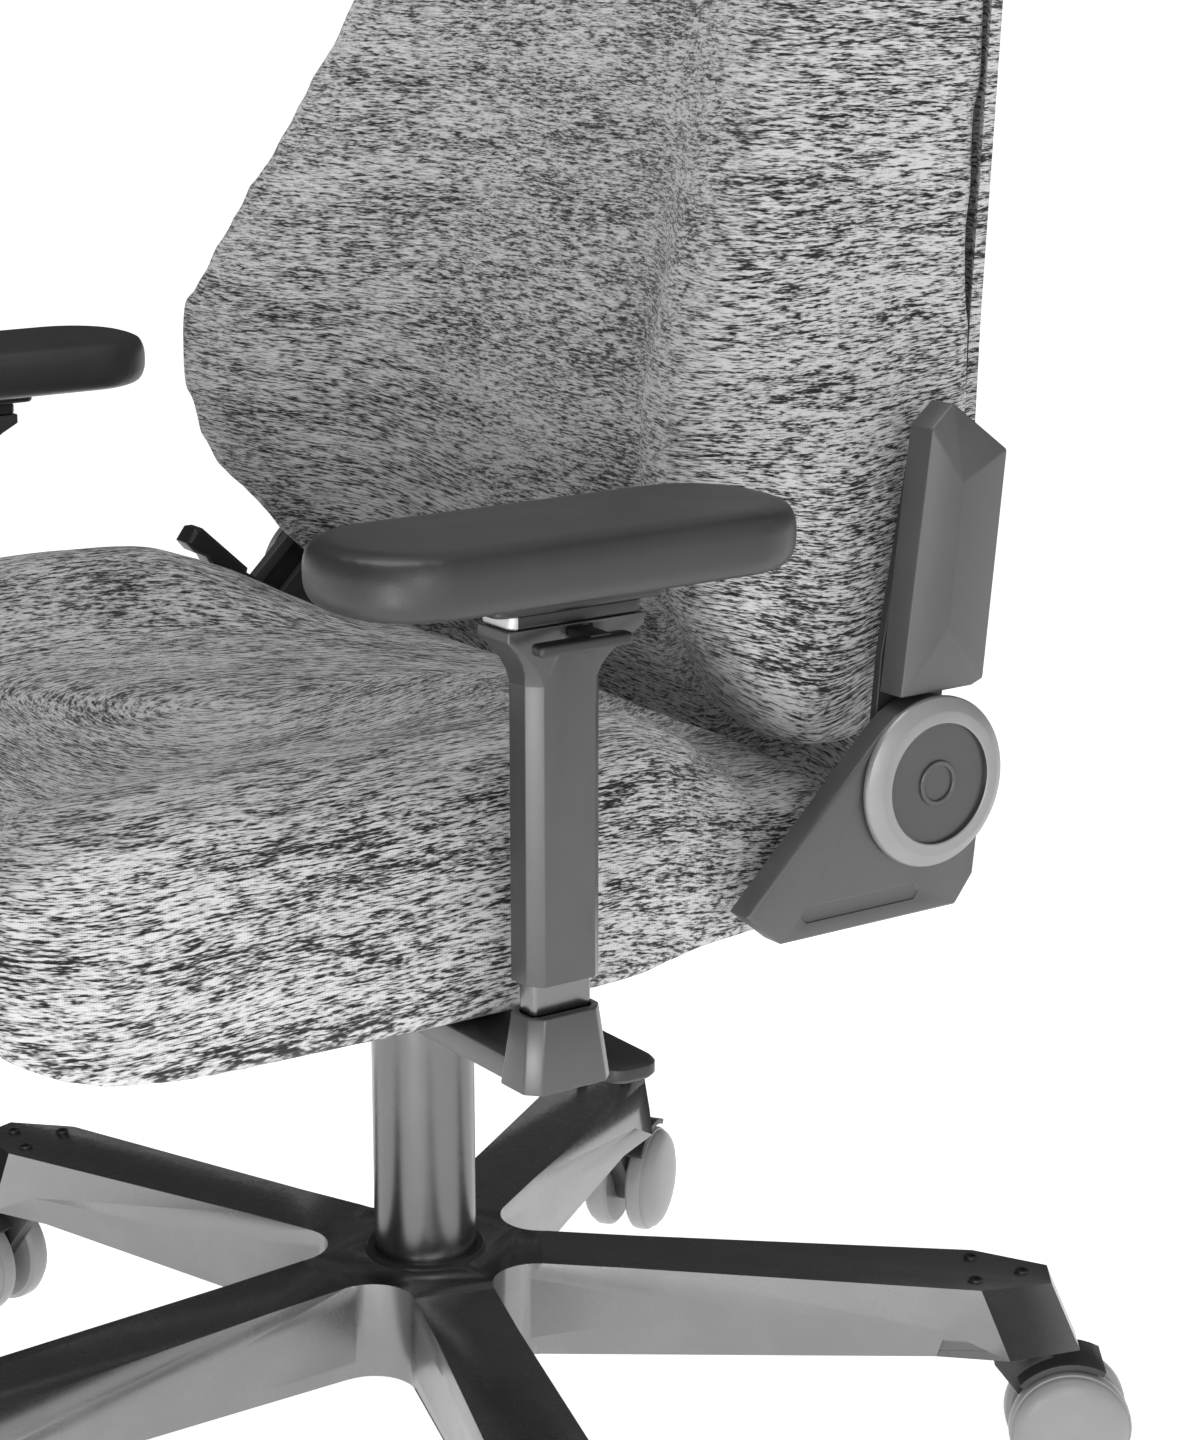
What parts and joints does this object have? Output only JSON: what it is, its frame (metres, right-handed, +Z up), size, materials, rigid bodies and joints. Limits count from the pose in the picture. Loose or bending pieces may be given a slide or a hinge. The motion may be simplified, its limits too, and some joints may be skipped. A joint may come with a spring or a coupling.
{
  "type": "gaming chair",
  "caption": "Swivel gaming chair: star base with twin-wheel casters, gas lift, tilting bolstered seat, reclining winged backrest on side hinges, adjustable armrests, grey heather fabric.",
  "frame": {"origin": "on the floor, under the middle of the chair's footprint; the lift's axis is 30 mm behind it", "axes": "+Z up, the sitter faces -Y, the sitter's left hand is at +X"},
  "size_m": [0.7558, 0.7188, 1.302],
  "materials": {
    "base_metal": "satin black powder coat with a fine grain",
    "caster_plastic": "dark moulded plastic",
    "wheel_grey": "light grey domed wheel cover with a soft tread",
    "tube_steel": "dark satin tube",
    "guide_plastic": "plain moulded plastic",
    "bright_steel": "bright drawn steel",
    "black_steel": "black painted steel",
    "dark_plastic": "near-black moulded plastic",
    "upholstery": "grey heather weave with short light and dark streaks",
    "grey_cover": "mid grey satin with a fine sparkle",
    "disc_grey": "lighter grey satin",
    "satin_metal": "grey satin powder coat",
    "light_metal": "plain light metal",
    "pad_foam": "charcoal skinned foam, satin"
  },
  "bodies": {
    "base": {"base_star": "base_metal", "gas_lift_tube": "tube_steel", "lift_guide_bushing": "guide_plastic", "lift_thrust_bearing": "bright_steel", "lift_piston_rod": "bright_steel"},
    "caster_1": {"caster_fork_1": "caster_plastic"},
    "wheel_right_1": {"caster_wheel_right_1": "wheel_grey"},
    "wheel_left_1": {"caster_wheel_left_1": "wheel_grey"},
    "caster_2": {"caster_fork_2": "caster_plastic"},
    "wheel_right_2": {"caster_wheel_right_2": "wheel_grey"},
    "wheel_left_2": {"caster_wheel_left_2": "wheel_grey"},
    "caster_3": {"caster_fork_3": "caster_plastic"},
    "wheel_right_3": {"caster_wheel_right_3": "wheel_grey"},
    "wheel_left_3": {"caster_wheel_left_3": "wheel_grey"},
    "caster_4": {"caster_fork_4": "caster_plastic"},
    "wheel_right_4": {"caster_wheel_right_4": "wheel_grey"},
    "wheel_left_4": {"caster_wheel_left_4": "wheel_grey"},
    "caster_5": {"caster_fork_5": "caster_plastic"},
    "wheel_right_5": {"caster_wheel_right_5": "wheel_grey"},
    "wheel_left_5": {"caster_wheel_left_5": "wheel_grey"},
    "lift": {"lift_cylinder": "bright_steel"},
    "swivel": {"mechanism_housing": "black_steel", "tilt_pivot_pin": "bright_steel"},
    "tension_knob": {"tilt_tension_knob": "dark_plastic"},
    "height_lever": {"height_lever": "dark_plastic"},
    "lock_lever": {"tilt_lock_lever": "dark_plastic"},
    "seat": {"seat_plate": "black_steel", "seat_pan": "black_steel", "seat_cushion": "upholstery", "hinge_bracket_left": "black_steel", "hinge_cover_lower_left": "grey_cover", "hinge_disc_left": "disc_grey", "armrest_bracket_left": "satin_metal", "armrest_upright_left": "bright_steel", "hinge_bracket_right": "black_steel", "hinge_cover_lower_right": "grey_cover", "hinge_disc_right": "disc_grey", "armrest_bracket_right": "satin_metal", "armrest_upright_right": "bright_steel"},
    "backrest": {"backrest_cushion": "upholstery", "backrest_rear_shell": "upholstery", "frame_cross_tube_low": "black_steel", "frame_upright_left": "black_steel", "frame_upright_right": "black_steel", "frame_cross_tube_top": "black_steel", "back_arm_left": "black_steel", "back_arm_right": "black_steel", "hinge_cover_upper_left": "grey_cover", "hinge_cover_upper_right": "grey_cover"},
    "recline_lever": {"recline_lever": "dark_plastic"},
    "post_left": {"armrest_post_left": "satin_metal"},
    "arm_lever_left": {"armrest_lever_left": "dark_plastic"},
    "carrier_left": {"armrest_carrier_left": "light_metal"},
    "slider_left": {"armrest_slider_left": "dark_plastic"},
    "pad_left": {"armrest_pad_left": "pad_foam"},
    "post_right": {"armrest_post_right": "satin_metal"},
    "arm_lever_right": {"armrest_lever_right": "dark_plastic"},
    "carrier_right": {"armrest_carrier_right": "light_metal"},
    "slider_right": {"armrest_slider_right": "dark_plastic"},
    "pad_right": {"armrest_pad_right": "pad_foam"}
  },
  "joints": [
    {"name": "caster_swivel_1", "type": "hinge", "parent": "base", "child": "caster_1", "pos_m": [0, -0.298, 0.08], "axis": [0, 0, 1], "continuous": true},
    {"name": "wheel_spin_right_1", "type": "hinge", "parent": "caster_1", "child": "wheel_right_1", "pos_m": [0, -0.328, 0.034], "axis": [1, 0, 0], "continuous": true},
    {"name": "wheel_spin_left_1", "type": "hinge", "parent": "caster_1", "child": "wheel_left_1", "pos_m": [0, -0.328, 0.034], "axis": [1, 0, 0], "continuous": true},
    {"name": "caster_swivel_2", "type": "hinge", "parent": "base", "child": "caster_2", "pos_m": [0.31195, -0.07136, 0.08], "axis": [0, 0, 1], "continuous": true},
    {"name": "wheel_spin_right_2", "type": "hinge", "parent": "caster_2", "child": "wheel_right_2", "pos_m": [0.34048, -0.08063, 0.034], "axis": [0.309, 0.9511, 0], "continuous": true},
    {"name": "wheel_spin_left_2", "type": "hinge", "parent": "caster_2", "child": "wheel_left_2", "pos_m": [0.34048, -0.08063, 0.034], "axis": [0.309, 0.9511, 0], "continuous": true},
    {"name": "caster_swivel_3", "type": "hinge", "parent": "base", "child": "caster_3", "pos_m": [0.19279, 0.29536, 0.08], "axis": [0, 0, 1], "continuous": true},
    {"name": "wheel_spin_right_3", "type": "hinge", "parent": "caster_3", "child": "wheel_right_3", "pos_m": [0.21043, 0.31963, 0.034], "axis": [-0.809, 0.5878, 0], "continuous": true},
    {"name": "wheel_spin_left_3", "type": "hinge", "parent": "caster_3", "child": "wheel_left_3", "pos_m": [0.21043, 0.31963, 0.034], "axis": [-0.809, 0.5878, 0], "continuous": true},
    {"name": "caster_swivel_4", "type": "hinge", "parent": "base", "child": "caster_4", "pos_m": [-0.19279, 0.29536, 0.08], "axis": [0, 0, 1], "continuous": true},
    {"name": "wheel_spin_right_4", "type": "hinge", "parent": "caster_4", "child": "wheel_right_4", "pos_m": [-0.21043, 0.31963, 0.034], "axis": [-0.809, -0.5878, 0], "continuous": true},
    {"name": "wheel_spin_left_4", "type": "hinge", "parent": "caster_4", "child": "wheel_left_4", "pos_m": [-0.21043, 0.31963, 0.034], "axis": [-0.809, -0.5878, 0], "continuous": true},
    {"name": "caster_swivel_5", "type": "hinge", "parent": "base", "child": "caster_5", "pos_m": [-0.31195, -0.07136, 0.08], "axis": [0, 0, 1], "continuous": true},
    {"name": "wheel_spin_right_5", "type": "hinge", "parent": "caster_5", "child": "wheel_right_5", "pos_m": [-0.34048, -0.08063, 0.034], "axis": [0.309, -0.9511, 0], "continuous": true},
    {"name": "wheel_spin_left_5", "type": "hinge", "parent": "caster_5", "child": "wheel_left_5", "pos_m": [-0.34048, -0.08063, 0.034], "axis": [0.309, -0.9511, 0], "continuous": true},
    {"name": "seat_height", "type": "slide", "parent": "base", "child": "lift", "axis": [0, 0, 1], "range_m": [0, 0.08]},
    {"name": "seat_swivel", "type": "hinge", "parent": "lift", "child": "swivel", "pos_m": [0, 0.03, 0.33], "axis": [0, 0, 1], "continuous": true},
    {"name": "tension_knob_turn", "type": "hinge", "parent": "swivel", "child": "tension_knob", "pos_m": [0, -0.071, 0.33], "axis": [0, -1, 0], "continuous": true},
    {"name": "height_lever_lift", "type": "hinge", "parent": "swivel", "child": "height_lever", "pos_m": [-0.2, 0.01, 0.33], "axis": [-1, 0, 0], "range_deg": [0, 15], "stiffness_Nm_per_rad": 0.6, "springref_deg": -8.59},
    {"name": "tilt_lock_turn", "type": "hinge", "parent": "swivel", "child": "lock_lever", "pos_m": [0.2, -0.01, 0.33], "axis": [-1, 0, 0], "range_deg": [0, 15]},
    {"name": "seat_tilt", "type": "hinge", "parent": "swivel", "child": "seat", "pos_m": [0, -0.04, 0.346], "axis": [-1, 0, 0], "range_deg": [0, 12], "stiffness_Nm_per_rad": 900, "springref_deg": -11.46},
    {"name": "recline", "type": "hinge", "parent": "seat", "child": "backrest", "pos_m": [0, 0.14, 0.451], "axis": [-1, 0, 0], "range_deg": [0, 75]},
    {"name": "recline_lever_lift", "type": "hinge", "parent": "seat", "child": "recline_lever", "pos_m": [-0.264, 0.14, 0.451], "axis": [-1, 0, 0], "range_deg": [0, 20], "stiffness_Nm_per_rad": 0.8, "springref_deg": -8.59},
    {"name": "armrest_height_left", "type": "slide", "parent": "seat", "child": "post_left", "axis": [0, 0, 1], "range_m": [0, 0.06]},
    {"name": "armrest_lever_press_left", "type": "hinge", "parent": "post_left", "child": "arm_lever_left", "pos_m": [0.3195, -0.088, 0.562], "axis": [0, -1, 0], "range_deg": [0, 12], "stiffness_Nm_per_rad": 0.2, "springref_deg": -5.73},
    {"name": "armrest_swivel_left", "type": "hinge", "parent": "post_left", "child": "carrier_left", "pos_m": [0.31, -0.093, 0.566], "axis": [0, 0, 1], "range_deg": [-10, 15]},
    {"name": "armrest_fore_aft_left", "type": "slide", "parent": "carrier_left", "child": "slider_left", "axis": [0, 1, 0], "range_m": [-0.02, 0.015]},
    {"name": "armrest_in_out_left", "type": "slide", "parent": "slider_left", "child": "pad_left", "axis": [1, 0, 0], "range_m": [-0.008, 0.008]},
    {"name": "armrest_height_right", "type": "slide", "parent": "seat", "child": "post_right", "axis": [0, 0, 1], "range_m": [0, 0.06]},
    {"name": "armrest_lever_press_right", "type": "hinge", "parent": "post_right", "child": "arm_lever_right", "pos_m": [-0.3195, -0.088, 0.562], "axis": [0, 1, 0], "range_deg": [0, 12], "stiffness_Nm_per_rad": 0.2, "springref_deg": -5.73},
    {"name": "armrest_swivel_right", "type": "hinge", "parent": "post_right", "child": "carrier_right", "pos_m": [-0.31, -0.093, 0.566], "axis": [0, 0, -1], "range_deg": [-10, 15]},
    {"name": "armrest_fore_aft_right", "type": "slide", "parent": "carrier_right", "child": "slider_right", "axis": [0, 1, 0], "range_m": [-0.02, 0.015]},
    {"name": "armrest_in_out_right", "type": "slide", "parent": "slider_right", "child": "pad_right", "axis": [1, 0, 0], "range_m": [-0.008, 0.008]}
  ]
}
